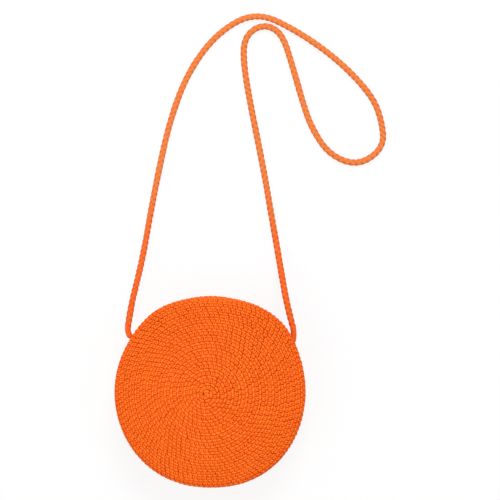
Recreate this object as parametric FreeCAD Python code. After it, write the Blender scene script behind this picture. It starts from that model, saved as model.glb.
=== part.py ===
"""Round crocheted shoulder bag with a zip along its top edge and one long plaited strap.

The bag lies on its back: +Z goes from the back panel to the front panel, +Y towards the top of the
bag, where the zip is, and +X to the right. The origin is the centre of the back panel. Millimetres.
"""
import FreeCAD
import Part
import math
import os

Vector = FreeCAD.Vector

# Body of the bag
BAG_DIAMETER = 190.0
WALL = 3.0
CORNER_RADIUS = 6.0
SIDE_HEIGHT = 38.0
FRONT_CROWN = 3.0
LINING_THICKNESS = 0.6
LAYER_GAP = 0.3
FOLD_GAP = 0.3

# Zip along the top of the side
ZIP_SLOT_HALF_ANGLE = 54.0
ZIP_SLOT_WIDTH = 12.6
TAPE_WIDTH = 8.0
TAPE_THICKNESS = 0.6
TAPE_TUCK = 3.2
TOOTH_PITCH = 2.9
TOOTH_LENGTH = 2.5
TOOTH_HEIGHT = 2.6
TOOTH_HEAD_WIDTH = 1.7
TOOTH_NECK_WIDTH = 1.1
ZIP_SLIT = 1.0
STOP_LENGTH = 2.0
STOP_INSET = 1.0

# Slider and pull tab
SLIDER_LENGTH = 11.0
SLIDER_PLATE = 1.2
SLIDER_FLANGE = 1.2
SLIDER_CLEARANCE = 0.5
SLIDER_CORNER = 2.0
SLIDER_STOP_GAP = 0.4
POST_LENGTH = 3.0
POST_THICKNESS = 0.6
CROWN_LENGTH = 8.4
CROWN_WIDTH = 2.4
CROWN_THICKNESS = 1.2
PULL_BAR_DIAMETER = 1.4
PULL_CLEARANCE = 0.4
PULL_ARM_WIDTH = 1.9
PULL_LENGTH = 20.0
PULL_HOLE_DIAMETER = 3.0
FOLD_ROOM = 0.8

# Strap
CORD_DIAMETER = 6.0
SLEEVE_WALL = 0.6
SLEEVE_REACH = 24.0
STRAP_ROUTE = [
    (-80, 63, 36), (-79, 86, 34.5), (-74.5, 111, 22), (-69, 140, 4), (-62, 178, 3), (-52.5, 222, 3),
    (-41, 273, 3), (-23, 321, 3), (7, 361, 3), (46, 382, 3), (88, 362, 3), (130, 332, 3),
    (163, 298, 3), (172.5, 273, 3), (174.5, 245, 3), (148.5, 227, 3), (119.5, 237, 3), (102, 264, 3),
    (93.5, 288, 3), (82.5, 327, 3), (74.5, 359, 3), (60, 368, 3), (43.5, 365, 3), (33, 352, 3),
    (33.5, 326, 3), (40, 288, 3), (53.5, 219, 3), (59.5, 180, 3), (66.5, 141, 4), (72, 111, 22),
    (76, 85, 34.5), (80, 63, 36),
]
ARC_SHARE = 0.45

# Levels and radii that follow from the sizes above
outer_radius = BAG_DIAMETER / 2
inner_radius = outer_radius - WALL
flat_radius = outer_radius - CORNER_RADIUS
side_top = CORNER_RADIUS + SIDE_HEIGHT
front_edge_z = side_top + CORNER_RADIUS
bag_depth = front_edge_z + FRONT_CROWN
zip_z = CORNER_RADIUS + SIDE_HEIGHT / 2

tape_outer = inner_radius - LAYER_GAP
tape_inner = tape_outer - TAPE_THICKNESS
zip_radius = (tape_outer + tape_inner) / 2
lining_outer = tape_inner - LAYER_GAP
lining_inner = lining_outer - LINING_THICKNESS
tooth_base = ZIP_SLIT / 2 + TOOTH_LENGTH

channel_half = TOOTH_HEIGHT / 2 + SLIDER_CLEARANCE
slider_half_width = tooth_base + SLIDER_CLEARANCE + SLIDER_FLANGE
slider_top = zip_radius + channel_half + SLIDER_PLATE
pull_radius = slider_top + PULL_CLEARANCE + PULL_BAR_DIAMETER / 2
crown_inside = pull_radius + PULL_BAR_DIAMETER / 2 + PULL_CLEARANCE
crown_top = crown_inside + CROWN_THICKNESS


def arc_angle(length):
    """Degrees that a length takes along the zip."""
    return math.degrees(length / zip_radius)


stop_angle = ZIP_SLOT_HALF_ANGLE - arc_angle(STOP_INSET + STOP_LENGTH / 2)
park_angle = stop_angle - arc_angle(STOP_LENGTH / 2 + SLIDER_STOP_GAP + SLIDER_LENGTH / 2)
slider_nose_angle = park_angle - arc_angle(SLIDER_LENGTH / 2)
fold_y = slider_top * math.cos(math.radians(slider_nose_angle)) + FOLD_ROOM
space = 2 * BAG_DIAMETER


# Building blocks
def block(x_range, y_range, z_range):
    """A box between two corners."""
    size = [high - low for low, high in (x_range, y_range, z_range)]
    return Part.makeBox(*size, Vector(x_range[0], y_range[0], z_range[0]))


def ring(outer, inner, bottom, top):
    """An upright ring about the bag's axis."""
    tall = Part.makeCylinder(outer, top - bottom, Vector(0, 0, bottom))
    return tall.cut(Part.makeCylinder(inner, top - bottom, Vector(0, 0, bottom)))


def wedge(half_angle, bottom, top):
    """Everything within an angle of the top of the bag, seen from the centre."""
    half = math.radians(half_angle)
    left = Vector(-space * math.sin(half), space * math.cos(half), bottom)
    right = Vector(space * math.sin(half), space * math.cos(half), bottom)
    centre = Vector(0, 0, bottom)
    face = Part.Face(Part.makePolygon([centre, right, left, centre]))
    return face.extrude(Vector(0, 0, top - bottom))


def above_fold(shape):
    """The part of a shape that goes with the mouth flap."""
    return shape.common(block((-space, space), (fold_y + FOLD_GAP / 2, space), (-space, space)))


def below_fold(shape):
    """The part of a shape that stays when the mouth opens."""
    return shape.common(block((-space, space), (-space, fold_y - FOLD_GAP / 2), (-space, space)))


def to_angle(shape, angle):
    """Turn a shape from the top of the bag, clockwise seen from the front."""
    return shape.rotated(Vector(0, 0, 0), Vector(0, 0, 1), -angle)


def outline_solid(edges, direction):
    """Extrude a closed outline of edges."""
    return Part.Face(Part.Wire(Part.__sortEdges__(edges))).extrude(direction)


def line(start, end):
    return Part.makeLine(start, end)


def arc(start, middle, end):
    return Part.Arc(start, middle, end).toShape()


def quarter(centre_x, centre_z, radius, up):
    """Points of a quarter round in the XZ plane, from its top or bottom to its outermost point."""
    slant = radius * math.sqrt(0.5)
    start = Vector(centre_x, 0, centre_z + up * radius)
    middle = Vector(centre_x + slant, 0, centre_z + up * slant)
    end = Vector(centre_x + radius, 0, centre_z)
    return start, middle, end


def revolved(edges):
    """Turn a closed profile of edges once about the bag's axis."""
    face = Part.Face(Part.Wire(Part.__sortEdges__(edges)))
    return face.revolve(Vector(0, 0, 0), Vector(0, 0, 1), 360)


# Panels
def back_panel():
    """Flat disc whose edge turns up into the side."""
    outer = quarter(flat_radius, CORNER_RADIUS, CORNER_RADIUS, -1)
    inner = quarter(flat_radius, CORNER_RADIUS, CORNER_RADIUS - WALL, -1)
    foot = Vector(0, 0, 0)
    floor = Vector(0, 0, WALL)
    return revolved([
        line(foot, outer[0]), arc(*outer), line(outer[2], inner[2]), arc(*inner),
        line(inner[0], floor), line(floor, foot),
    ])


def crown_arc(height, radius):
    """Shallow dome line from the axis to a radius, FRONT_CROWN lower there than on the axis."""
    fall = FRONT_CROWN * (radius / flat_radius) ** 2
    return (Vector(0, 0, height), Vector(radius / 2, 0, height - fall / 4), Vector(radius, 0, height - fall))


def whole_front():
    """Slightly domed disc whose edge turns down into the side."""
    outer = quarter(flat_radius, side_top, CORNER_RADIUS, 1)
    inner = quarter(flat_radius, side_top, CORNER_RADIUS - WALL, 1)
    dome = crown_arc(bag_depth, flat_radius)
    under = crown_arc(bag_depth - WALL, flat_radius)
    return revolved([
        arc(*dome), arc(*outer), line(outer[2], inner[2]), arc(*inner), arc(*under),
        line(under[0], dome[0]),
    ])


# Side of the bag
def gusset_band():
    """Side band from one end of the zip slot round the bottom to the other."""
    band = ring(outer_radius, inner_radius, CORNER_RADIUS, side_top)
    return band.cut(wedge(ZIP_SLOT_HALF_ANGLE, CORNER_RADIUS, side_top))


def zip_strip(bottom, top):
    """Strip of the side on one edge of the zip slot."""
    return ring(outer_radius, inner_radius, bottom, top).common(wedge(ZIP_SLOT_HALF_ANGLE, bottom, top))


# Lining
def dome_lining():
    """Lining of the whole front, parallel to the panel's inner face."""
    top = crown_arc(bag_depth - WALL - LAYER_GAP, flat_radius)
    bottom = crown_arc(bag_depth - WALL - LAYER_GAP - LINING_THICKNESS, flat_radius)
    return revolved([arc(*top), line(top[2], bottom[2]), arc(*bottom), line(bottom[0], top[0])])


lining_floor = WALL + LAYER_GAP + LINING_THICKNESS
lining_ceiling = front_edge_z - WALL - LAYER_GAP - LINING_THICKNESS
slot_bottom = zip_z - ZIP_SLOT_WIDTH / 2
slot_top = zip_z + ZIP_SLOT_WIDTH / 2


def side_ring_lining(bottom, top):
    return ring(lining_outer, lining_inner, bottom, top)


def side_lining():
    """Lining of the side, open at the zip and where the mouth flap swings out."""
    low = lining_floor + LAYER_GAP
    high = lining_ceiling - LAYER_GAP
    whole = side_ring_lining(low, high)
    whole = whole.cut(wedge(ZIP_SLOT_HALF_ANGLE, slot_bottom, slot_top))
    swing = block((-space, space), (fold_y - FOLD_GAP / 2, space), (zip_z, space))
    return whole.cut(swing)


def flap_lining():
    """Lining of the flap: its piece of the front, and its piece of the side."""
    high = lining_ceiling - LAYER_GAP
    lip = side_ring_lining(slot_top, high)
    return Part.makeCompound(above_fold(dome_lining()).Solids + above_fold(lip).Solids)


# Zip
def zip_tape(side):
    """Woven tape on one side of the zip, tucked behind the strip and under both ends of the slot."""
    edges = sorted((zip_z + side * tooth_base, zip_z + side * (tooth_base + TAPE_WIDTH)))
    reach = ZIP_SLOT_HALF_ANGLE + arc_angle(TAPE_TUCK)
    return ring(tape_outer, tape_inner, *edges).common(wedge(reach, *edges))


def tooth(angle, side):
    """One moulded tooth: wide root on the tape, narrow neck and rounded head at the slit."""
    head = ZIP_SLIT / 2
    profile = [
        (TOOTH_HEAD_WIDTH / 2, tooth_base),
        (TOOTH_NECK_WIDTH / 2, tooth_base - 0.4 * TOOTH_LENGTH),
        (TOOTH_HEAD_WIDTH / 2, head + 0.3 * TOOTH_LENGTH),
        (TOOTH_NECK_WIDTH / 2, head),
    ]
    loop = profile + [(-x, z) for x, z in reversed(profile)]
    low = zip_radius - TOOTH_HEIGHT / 2
    points = [Vector(x, low, zip_z + side * z) for x, z in loop]
    solid = Part.Face(Part.makePolygon(points + points[:1])).extrude(Vector(0, TOOTH_HEIGHT, 0))
    return to_angle(solid, angle)


def tooth_angles(offset):
    """Places of one row's teeth, the two rows half a pitch apart."""
    step = arc_angle(TOOTH_PITCH)
    reach = stop_angle - arc_angle(STOP_LENGTH / 2 + TOOTH_HEAD_WIDTH)
    count = int(reach / step)
    return [(index + offset) * step for index in range(-count, count + 1) if abs(index + offset) * step < reach]


def on_flap(angle):
    return zip_radius * math.cos(math.radians(angle)) > fold_y


def stop_block(low, high):
    """A stop between two heights, at the top of the bag."""
    depth = (zip_radius - TOOTH_HEIGHT / 2, zip_radius + TOOTH_HEIGHT / 2)
    return block((-STOP_LENGTH / 2, STOP_LENGTH / 2), depth, (low, high))


def zip_bottom_stop():
    """One clip across both tapes at the right end."""
    return to_angle(stop_block(zip_z - tooth_base, zip_z + tooth_base), stop_angle)


def zip_top_stops():
    """One small clip on each tape at the left end."""
    gap = ZIP_SLIT / 2
    front = stop_block(zip_z + gap, zip_z + tooth_base)
    back = stop_block(zip_z - tooth_base, zip_z - gap)
    return Part.makeCompound([to_angle(front, -stop_angle), to_angle(back, -stop_angle)])


# Slider and pull tab, made at the top of the bag and turned to the right end of the zip
def slider_body():
    """Two plates joined by a post at the nose, with flanges that guide the teeth."""
    half = SLIDER_LENGTH / 2
    bottom = zip_radius - channel_half - SLIDER_PLATE
    width = (zip_z - slider_half_width, zip_z + slider_half_width)
    body = block((-half, half), (bottom, slider_top), width)
    corners = [edge for edge in body.Edges if abs(edge.tangentAt(edge.FirstParameter).y) > 0.99]
    body = body.makeFillet(SLIDER_CORNER, corners)
    channel_width = tooth_base + SLIDER_CLEARANCE
    channel = block((-half, half), (zip_radius - channel_half, zip_radius + channel_half),
                    (zip_z - channel_width, zip_z + channel_width))
    slit = TAPE_THICKNESS / 2 + SLIDER_CLEARANCE
    body = body.cut(channel).cut(block((-half, half), (zip_radius - slit, zip_radius + slit), width))
    post = block((-half + PULL_CLEARANCE, -half + PULL_CLEARANCE + POST_LENGTH),
                 (zip_radius - channel_half, zip_radius + channel_half),
                 (zip_z - POST_THICKNESS / 2, zip_z + POST_THICKNESS / 2))
    return to_angle(body.fuse(post).removeSplitter(), park_angle)


def slider_crown():
    """Arched bail on the slider, under which the pull tab's bar turns."""
    half = CROWN_LENGTH / 2
    inside = half - CROWN_THICKNESS
    low = zip_z - CROWN_WIDTH / 2
    arch = block((-half, half), (slider_top, crown_top), (low, low + CROWN_WIDTH))
    shoulders = [edge for edge in arch.Edges
                 if abs(edge.tangentAt(edge.FirstParameter).z) > 0.99 and edge.CenterOfMass.y > crown_inside]
    arch = arch.makeFillet(CROWN_THICKNESS * 0.9, shoulders)
    opening = block((-inside, inside), (slider_top, crown_inside), (low, low + CROWN_WIDTH))
    return to_angle(arch.cut(opening), park_angle)


def pull_tab():
    """Flat tab with a window for the crown, a round bar across it and a hole near the tip."""
    thick = PULL_BAR_DIAMETER
    window_half = CROWN_WIDTH / 2 + PULL_CLEARANCE
    half = window_half + PULL_ARM_WIDTH
    reach = math.hypot(CROWN_LENGTH / 2, crown_top - pull_radius) + PULL_CLEARANCE
    low = pull_radius - thick / 2
    tip = PULL_LENGTH - half
    flat = block((0, tip), (low, low + thick), (zip_z - half, zip_z + half))
    end = Part.makeCylinder(half, thick, Vector(tip, low, zip_z), Vector(0, 1, 0))
    hole = Part.makeCylinder(PULL_HOLE_DIAMETER / 2, thick, Vector(tip, low, zip_z), Vector(0, 1, 0))
    window = block((0, reach), (low, low + thick), (zip_z - window_half, zip_z + window_half))
    bar = Part.makeCylinder(thick / 2, 2 * half, Vector(0, pull_radius, zip_z - half), Vector(0, 0, 1))
    tab = flat.fuse(end).cut(hole).cut(window).fuse(bar).removeSplitter()
    return to_angle(tab, park_angle)


# Strap
route = [Vector(*point) for point in STRAP_ROUTE]


def strap_path():
    """Straight runs joined by tangent arcs, each arc as large as its two runs allow."""
    edges = []
    radii = []
    here = route[0]
    for before, corner, after in zip(route, route[1:], route[2:]):
        way_in = (corner - before).normalize()
        way_out = (after - corner).normalize()
        half_turn = way_in.getAngle(way_out) / 2
        trim = ARC_SHARE * min((corner - before).Length, (after - corner).Length)
        radius = trim / math.tan(half_turn)
        inward = (way_out - way_in).normalize()
        start = corner - way_in * trim
        end = corner + way_out * trim
        middle = corner + inward * (radius / math.cos(half_turn) - radius)
        edges += [line(here, start), arc(start, middle, end)]
        radii.append(radius)
        here = end
    edges.append(line(here, route[-1]))
    return Part.Wire(edges), radii


def strap_cord():
    """Free strap, from the mouth of one sleeve to the mouth of the other."""
    path, radii = strap_path()
    section = Part.Wire(Part.makeCircle(CORD_DIAMETER / 2, route[0], route[1] - route[0]))
    sweep = Part.BRepOffsetAPI.MakePipeShell(path)
    sweep.add(section)
    sweep.build()
    sweep.makeSolid()
    cord = sweep.shape()
    ideal = math.pi * (CORD_DIAMETER / 2) ** 2 * path.Length
    print("strap bend radii:", " ".join(f"{radius:.0f}" for radius in radii))
    print(f"strap length {path.Length:.1f} mm, volume over section times length {cord.Volume / ideal:.4f}")
    return cord


def strap_sleeve(mouth, towards):
    """Bound strap end, from the free strap's first point back to the side of the bag."""
    back = (mouth - towards).normalize()
    sleeve = Part.makeCylinder(CORD_DIAMETER / 2 + SLEEVE_WALL, SLEEVE_REACH, mouth, back)
    seat = Part.makeCylinder(outer_radius + LAYER_GAP, space, Vector(0, 0, 0))
    return sleeve.cut(seat)


front = whole_front()
front_strip = zip_strip(slot_top, side_top)
front_tape = zip_tape(1)
front_teeth = tooth_angles(0.5)

parts = {
    "back_panel": back_panel(),
    "front_panel": below_fold(front),
    "gusset_band": gusset_band(),
    "zip_strip_back": zip_strip(CORNER_RADIUS, slot_bottom),
    "zip_strip_front_ends": below_fold(front_strip),
    "back_lining": Part.makeCylinder(flat_radius, LINING_THICKNESS, Vector(0, 0, WALL + LAYER_GAP)),
    "front_lining": below_fold(dome_lining()),
    "side_lining": side_lining(),
    "zip_tape_back": zip_tape(-1),
    "zip_tape_front_ends": below_fold(front_tape),
    "zip_teeth_back": Part.makeCompound([tooth(angle, -1) for angle in tooth_angles(0.0)]),
    "zip_teeth_front_ends": Part.makeCompound([tooth(angle, 1) for angle in front_teeth if not on_flap(angle)]),
    "zip_bottom_stop": zip_bottom_stop(),
    "zip_top_stops": zip_top_stops(),
    "flap_panel": above_fold(front),
    "zip_strip_front": above_fold(front_strip),
    "flap_lining": flap_lining(),
    "zip_tape_front": above_fold(front_tape),
    "zip_teeth_front": Part.makeCompound([tooth(angle, 1) for angle in front_teeth if on_flap(angle)]),
    "slider_body": slider_body(),
    "slider_crown": slider_crown(),
    "pull_tab": pull_tab(),
    "strap_sleeve_left": strap_sleeve(route[0], route[1]),
    "strap_sleeve_right": strap_sleeve(route[-1], route[-2]),
    "strap_cord": strap_cord(),
}

os.makedirs("parts", exist_ok=True)
for name, shape in parts.items():
    shape.exportStep(f"parts/{name}.step")
    solids = shape.Solids
    print(f"{name}: {len(solids)} solids, {shape.Volume / 1000:.2f} cm3, valid {shape.isValid()}")
print(f"fold line y {fold_y:.2f}, depth {bag_depth:.2f}, park angle {park_angle:.3f}, pull radius {pull_radius:.3f}")
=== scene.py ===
# %% [markdown]
# # A round crocheted bag
#
# The bag is worked in one orange yarn, round after round. One half starts at the middle of the back, and
# the other at the middle of the front. Both wind outwards and turn the corner, and a seam on the side
# joins them. A zip is set into the side along the top, and a long plaited strap is sewn on at both ends
# of the zip. This lesson builds yarn, lining, zip and strap around a fixed frame.

# %% The frame
import bpy
import numpy as np
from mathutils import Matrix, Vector


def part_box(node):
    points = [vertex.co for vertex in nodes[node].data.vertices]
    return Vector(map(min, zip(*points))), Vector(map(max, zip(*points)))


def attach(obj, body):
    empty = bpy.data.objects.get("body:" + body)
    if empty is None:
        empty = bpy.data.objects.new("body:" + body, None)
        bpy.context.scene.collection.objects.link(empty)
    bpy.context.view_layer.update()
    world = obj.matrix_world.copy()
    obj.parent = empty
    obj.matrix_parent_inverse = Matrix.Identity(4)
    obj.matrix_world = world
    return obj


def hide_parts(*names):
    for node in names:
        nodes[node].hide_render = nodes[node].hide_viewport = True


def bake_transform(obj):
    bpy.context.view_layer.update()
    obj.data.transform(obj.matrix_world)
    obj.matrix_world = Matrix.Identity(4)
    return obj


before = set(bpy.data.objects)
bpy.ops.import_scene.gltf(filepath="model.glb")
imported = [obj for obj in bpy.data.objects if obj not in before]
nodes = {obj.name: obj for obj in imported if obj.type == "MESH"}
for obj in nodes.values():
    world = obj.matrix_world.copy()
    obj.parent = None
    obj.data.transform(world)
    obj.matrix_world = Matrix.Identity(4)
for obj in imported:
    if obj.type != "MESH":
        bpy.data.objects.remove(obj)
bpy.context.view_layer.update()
MM = 0.001
TURN = 2 * np.pi

# %% [markdown]
# ## Sizes of the bag
#
# The main sizes are read from the frame, so that the yarn lies where the solid walls are. They
# could be typed in again, but then the two models would drift apart. Lengths are in millimetres until a
# mesh is written.

# %% Sizes


def node_box(name):
    """Lowest and highest corner of a frame node, in millimetres."""
    low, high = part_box(name)
    return np.array(low) / MM, np.array(high) / MM


band_low, band_high = node_box("gusset_band")
front_high = node_box("front_panel")[1]
strip_low, strip_high = node_box("zip_strip_back")
tape_low, tape_high = node_box("zip_tape_back")

WALL = 3.0
OUTER_RADIUS = band_high[0]
CORNER = band_low[2]
SIDE_TOP = band_high[2]
SIDE_HEIGHT = SIDE_TOP - CORNER
CROWN = front_high[2] - SIDE_TOP - CORNER
ZIP_Z = (CORNER + SIDE_TOP) / 2
SLOT_ANGLE = np.arctan2(strip_high[0], strip_low[1] * OUTER_RADIUS / (OUTER_RADIUS - WALL))
print(f"radius {OUTER_RADIUS:.1f}, side {SIDE_HEIGHT:.1f}, crown {CROWN:.1f}, zip at z {ZIP_Z:.1f}")

# %% [markdown]
# ## The camera
#
# The photograph looks straight down at the bag. A near camera would lean its sides outwards, so a long
# lens far above keeps them upright. At the height of the zip the picture is 500 mm wide, so that one
# pixel there is one millimetre.

# %% Camera
CAMERA_HEIGHT = 2000.0
CAMERA_PLACE = (39.6, 140.7)
FIELD = 500.0
SENSOR = 36.0
FARTHEST_METRES = 20.0

camera_data = bpy.data.cameras.new("camera")
camera = bpy.data.objects.new("camera", camera_data)
bpy.context.scene.collection.objects.link(camera)
camera.location = Vector((*CAMERA_PLACE, CAMERA_HEIGHT)) * MM
camera_data.sensor_width = SENSOR
camera_data.lens = SENSOR * (CAMERA_HEIGHT - ZIP_Z) / FIELD
camera_data.clip_end = FARTHEST_METRES
bpy.context.scene.camera = camera
print(f"lens {camera_data.lens:.1f} mm")

# %% [markdown]
# ## From arrays to meshes
#
# A length of yarn is a tube: rings of points along a line. Thousands of short tubes of the same kind are
# one array, and become a mesh at once. The map from the mesh to a texture runs once around each tube and
# along its length in metres, so that the twist of the yarn can follow it. Two values go with each point:
# a painted shade, darker the deeper it lies among its neighbours, and how dark that length of yarn was
# dyed.

# %% Tubes as arrays


def unit(vectors):
    """Each vector divided by its own length."""
    return vectors / np.linalg.norm(vectors, axis=-1, keepdims=True)


def tubes(centre, normal, half_width, half_thick, sides):
    """Oval rings: centre + side * half_width * cos(a) + up * half_thick * sin(a), for angles a around.

    The arrays hold tubes, then rings along a tube, then x, y and z."""
    along = unit(np.gradient(centre, axis=1))
    side = unit(np.cross(normal, along))
    up = np.cross(along, side)
    angle = np.linspace(0, TURN, sides, endpoint=False)
    wide = np.broadcast_to(half_width, centre.shape[:2])[..., None, None]
    thick = np.broadcast_to(half_thick, centre.shape[:2])[..., None, None]
    across = side[:, :, None] * np.cos(angle)[:, None] * wide
    return centre[:, :, None] + across + up[:, :, None] * np.sin(angle)[:, None] * thick


def tube_faces(tube_count, ring_count, sides):
    """Quads between neighbouring rings of each tube, and a flat cap on both ends."""
    point = np.arange(tube_count * ring_count * sides).reshape(tube_count, ring_count, sides)
    after = np.roll(point, -1, axis=2)
    quads = np.stack([point[:, :-1], after[:, :-1], after[:, 1:], point[:, 1:]], axis=-1)
    caps = np.concatenate([point[:, 0, ::-1], point[:, -1]])
    return quads.reshape(-1, 4), caps


def tube_map(centre, start, sides):
    """Texture place of each quad's corners: share of the way round, and metres along from a start."""
    steps = np.linalg.norm(np.diff(centre, axis=1), axis=-1)
    metres = start[:, None] + np.pad(np.cumsum(steps, axis=1), ((0, 0), (1, 0))) * MM
    shape = (*metres[:, 1:].shape, sides)
    before = np.broadcast_to(metres[:, :-1, None], shape)
    beyond = np.broadcast_to(metres[:, 1:, None], shape)
    left = np.broadcast_to(np.arange(sides) / sides, shape)
    right = left + 1 / sides
    corners = [(left, before), (right, before), (right, beyond), (left, beyond)]
    return np.stack([np.stack(corner, axis=-1) for corner in corners], axis=-2).reshape(-1, 2)


# %% Meshes from arrays


def new_piece(name, points, faces, material, uv=None, values=None):
    """Object at the origin, with points in millimetres, and values for each point by name."""
    mesh = bpy.data.meshes.new(name)
    mesh.from_pydata((points.reshape(-1, 3) * MM).tolist(), [], faces)
    if uv is not None:
        corners = np.zeros((len(mesh.loops), 2), np.float32)
        corners[:len(uv)] = uv
        mesh.uv_layers.new(name="UVMap").data.foreach_set("uv", corners.ravel())
    for key, numbers in (values or {}).items():
        attribute = mesh.attributes.new(key, "FLOAT", "POINT")
        attribute.data.foreach_set("value", numbers.astype(np.float32).ravel())
    mesh.materials.append(material)
    mesh.shade_smooth()
    mesh.update()
    piece = bpy.data.objects.new(name, mesh)
    bpy.context.scene.collection.objects.link(piece)
    print(f"{name}: {len(mesh.polygons)} faces")
    return piece


def yarn_piece(name, batches, material):
    """One object from batches of tubes: dictionaries of rings, centre, start, painted shade and tone."""
    points, quads, caps, maps, depths, tones = [], [], [], [], [], []
    offset = 0
    for batch in batches:
        rings = batch["rings"]
        tube_count, ring_count, sides = rings.shape[:3]
        batch_quads, batch_caps = tube_faces(tube_count, ring_count, sides)
        points.append(rings.reshape(-1, 3))
        quads.append(batch_quads + offset)
        caps += (batch_caps + offset).tolist()
        maps.append(tube_map(batch["centre"], batch["start"], sides))
        depths.append(np.broadcast_to(batch["depth"], rings.shape[:3]).ravel())
        tones.append(np.broadcast_to(batch["tone"][:, None, None], rings.shape[:3]).ravel())
        offset += rings[..., 0].size
    values = {"depth": np.concatenate(depths), "tone": np.concatenate(tones)}
    faces = np.concatenate(quads).tolist() + caps
    return new_piece(name, np.concatenate(points), faces, material, np.concatenate(maps), values)


# %% A slow wobble
WAVES = 5
WAVE_SPREAD = (0.6, 2.4)


def wander(places, reach, seed):
    """Slow, smooth, repeatable wobble: the mean of a few sine waves with drawn lengths and phases."""
    draw = np.random.default_rng(seed)
    lengths = reach * draw.uniform(*WAVE_SPREAD, WAVES)
    phases = draw.uniform(0, TURN, WAVES)
    return np.sin(TURN * places[..., None] / lengths + phases).mean(axis=-1)


# %% [markdown]
# ## Yarn, cloth and metal
#
# The yarn is matt and soft, with plies that twist round it and fine fibres along it. Its colour carries
# painted shade: it is painted darker where it dives under its neighbours, on the sides of each tube and
# in the grooves between plies, because little light gets there. A picture of yarn would stretch over the
# bends, so the look comes from formulas that follow each tube's own map. The rounds, the strap and the
# bound ends share this effect, so it is a node group that every yarn material places with its own
# values. Woven cloth gets a second group, for the lining and the tapes of the zip.

# %% Shader helpers
# Places of the sockets that a Mix node uses for colours.
MIX_SHARE, MIX_FIRST, MIX_SECOND, MIX_RESULT = 0, 6, 7, 2


def node(tree, kind, **settings):
    """A new node with properties set by name."""
    made = tree.nodes.new(kind)
    for key, value in settings.items():
        setattr(made, key, value)
    return made


def feed(tree, sockets, values):
    """Gives sockets, by name or place, other sockets to follow or plain values of their own."""
    for key, value in values.items():
        if isinstance(value, bpy.types.NodeSocket):
            tree.links.new(value, sockets[key])
        else:
            sockets[key].default_value = value


def maths(tree, operation, *inputs):
    """Result of a Math node whose inputs are sockets or plain numbers."""
    made = node(tree, "ShaderNodeMath", operation=operation)
    feed(tree, made.inputs, dict(enumerate(inputs)))
    return made.outputs[0]


def mix_colour(tree, share, first, second):
    """Mix of two colours, which are sockets or plain tuples."""
    made = node(tree, "ShaderNodeMix", data_type="RGBA")
    feed(tree, made.inputs, {MIX_SHARE: share, MIX_FIRST: first, MIX_SECOND: second})
    return made.outputs[MIX_RESULT]


def noise(tree, vector, scale, detail):
    """Value of a noise texture read at a vector."""
    made = node(tree, "ShaderNodeTexNoise")
    feed(tree, made.inputs, {"Vector": vector, "Scale": scale, "Detail": detail})
    return made.outputs[0]


def new_group(name, inputs):
    """Effect group with the given inputs, and colour, roughness and bump height as outputs."""
    tree = bpy.data.node_groups.new(name, "ShaderNodeTree")
    for key, value in inputs.items():
        kind = "NodeSocketColor" if isinstance(value, tuple) else "NodeSocketFloat"
        tree.interface.new_socket(key, in_out="INPUT", socket_type=kind).default_value = value
    outputs = {"Color": "NodeSocketColor", "Roughness": "NodeSocketFloat", "Height": "NodeSocketFloat"}
    for key, kind in outputs.items():
        tree.interface.new_socket(key, in_out="OUTPUT", socket_type=kind)
    given = node(tree, "NodeGroupInput").outputs
    result = node(tree, "NodeGroupOutput").inputs
    place = node(tree, "ShaderNodeTexCoord").outputs["Object"]
    cloth_map = node(tree, "ShaderNodeSeparateXYZ")
    tree.links.new(node(tree, "ShaderNodeUVMap", uv_map="UVMap").outputs[0], cloth_map.inputs[0])
    print("node group:", name)
    return tree, given, result, place, cloth_map.outputs


def linear(red, green, blue):
    """Linear colour from the 0 to 255 numbers of a picture."""
    share = np.array([red, green, blue]) / 255
    curve = np.where(share <= 0.04045, share / 12.92, ((share + 0.055) / 1.055) ** 2.4)
    return (*curve.tolist(), 1.0)


# %% The effect of plied yarn
WHITE = (1.0, 1.0, 1.0, 1.0)
GREY = (0.5, 0.5, 0.5, 1.0)
# How far each cause takes the colour from light, 0, to deep, 1. The grooves between plies and the
# shade value of each point are painted shade; dye, fibres and tone are the yarn's own uneven colour.
SHADE_START = -0.15
PLY_PAINTED_SHADE = 0.16
PAINTED_SHADE_WEIGHT = 0.95
DYE_SHADE = 0.14
FIBRE_SHADE = 0.22
TONE_SHADE = 0.10
DYE_SCALE = 42.0
FIBRES_AROUND = 9.0
FIBRES_ALONG = 320.0
FIBRE_HEIGHT = 0.45
PLY_HEIGHT = 0.6
# How much the fibres add to the roughness, and the roughness without them.
YARN_ROUGHNESS = (0.25, 0.62)


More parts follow.
